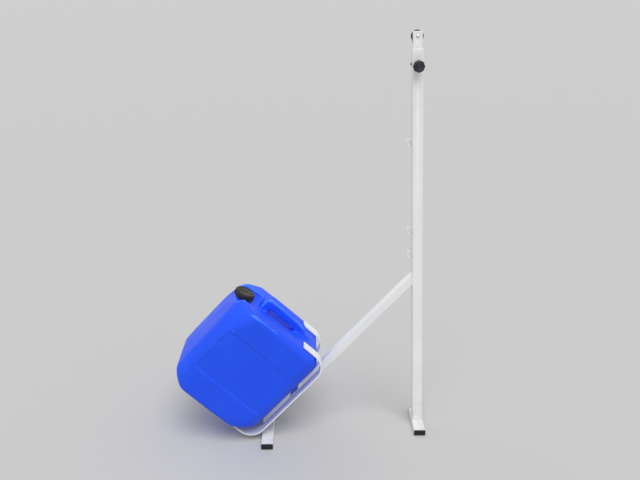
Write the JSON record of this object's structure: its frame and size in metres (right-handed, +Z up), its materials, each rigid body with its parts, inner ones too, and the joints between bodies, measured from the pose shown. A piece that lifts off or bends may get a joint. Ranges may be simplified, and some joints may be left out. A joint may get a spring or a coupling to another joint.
{
  "type": "ballasted net post",
  "caption": "Telescopic square-tube net post on foot bars, braced by a sloping strut whose steel cradle holds a water canister as ballast; clamp knob, cord hooks and a sheave at the mast's top.",
  "frame": {"origin": "on the floor, at the middle of the post's foot bar, under the foot of the post's axis", "axes": "+Z up; +X horizontal, from the canister towards the net; +Y along the foot bars, away from the clamp knob"},
  "size_m": [0.8585, 0.316, 1.373],
  "materials": {
    "white_enamel": "satin white enamel",
    "black_plastic": "fine-grained black plastic",
    "black_nylon": "smooth turned nylon",
    "zinc_steel": "zinc-plated steel",
    "blue_polyethylene": "blow-moulded satin polyethylene",
    "seal_rubber": "smooth grey rubber"
  },
  "bodies": {
    "base": {"post_foot_bar": "white_enamel", "post_foot_cap_near": "black_plastic", "post_foot_cap_far": "black_plastic", "strut_foot_bar": "white_enamel", "strut_foot_cap_near": "black_plastic", "strut_foot_cap_far": "black_plastic", "post_tube": "white_enamel", "strut_tube": "white_enamel", "cradle_bar_near": "white_enamel", "cradle_bar_far": "white_enamel", "cradle_cross_bar": "white_enamel", "cord_hook_upper": "white_enamel", "cord_hook_middle": "white_enamel", "cord_hook_lower": "white_enamel", "clamp_nut": "white_enamel", "guide_screw": "black_plastic"},
    "mast": {"mast_tube": "white_enamel", "mast_glide": "black_plastic", "sheave_pin": "zinc_steel", "sheave_spacer_near": "zinc_steel", "sheave_spacer_far": "zinc_steel"},
    "sheave": {"sheave": "black_nylon"},
    "clamp_pad": {"pressure_pad": "zinc_steel"},
    "clamp_screw": {"clamp_stud": "zinc_steel", "clamp_knob": "black_plastic"},
    "canister": {"canister_body": "blue_polyethylene"},
    "cap_liner": {"cap_seal": "seal_rubber"},
    "cap": {"canister_cap": "black_plastic"}
  },
  "joints": [
    {"name": "mast_slide", "type": "slide", "parent": "base", "child": "mast", "axis": [-0.0419, 0, 0.9991], "range_m": [0, 1.06]},
    {"name": "sheave_spin", "type": "hinge", "parent": "mast", "child": "sheave", "pos_m": [-0.05675, 0, 1.35397], "axis": [0, 1, 0], "continuous": true},
    {"name": "clamp_feed", "type": "slide", "parent": "base", "child": "clamp_pad", "axis": [0, -1, 0], "range_m": [0, 0.0025]},
    {"name": "knob_turn", "type": "hinge", "parent": "clamp_pad", "child": "clamp_screw", "pos_m": [-0.0531, -0.0175, 1.267], "axis": [0, -1, 0], "range_deg": [0, 720]},
    {"name": "canister_lift", "type": "slide", "parent": "base", "child": "canister", "axis": [-0.7337, 0, 0.6794], "range_m": [0, 0.16]},
    {"name": "cap_rise", "type": "slide", "parent": "canister", "child": "cap_liner", "axis": [0.4509, 0, 0.8926], "range_m": [0, 0.012]},
    {"name": "cap_turn", "type": "hinge", "parent": "cap_liner", "child": "cap", "pos_m": [-0.6127, 0, 0.49671], "axis": [0.4509, 0, 0.8926], "range_deg": [0, 1080]}
  ],
  "couplings": [
    {"joint": "clamp_feed", "follows": "knob_turn", "m_per_rad": 0.0001989},
    {"joint": "cap_rise", "follows": "cap_turn", "m_per_rad": 0.0006366}
  ]
}
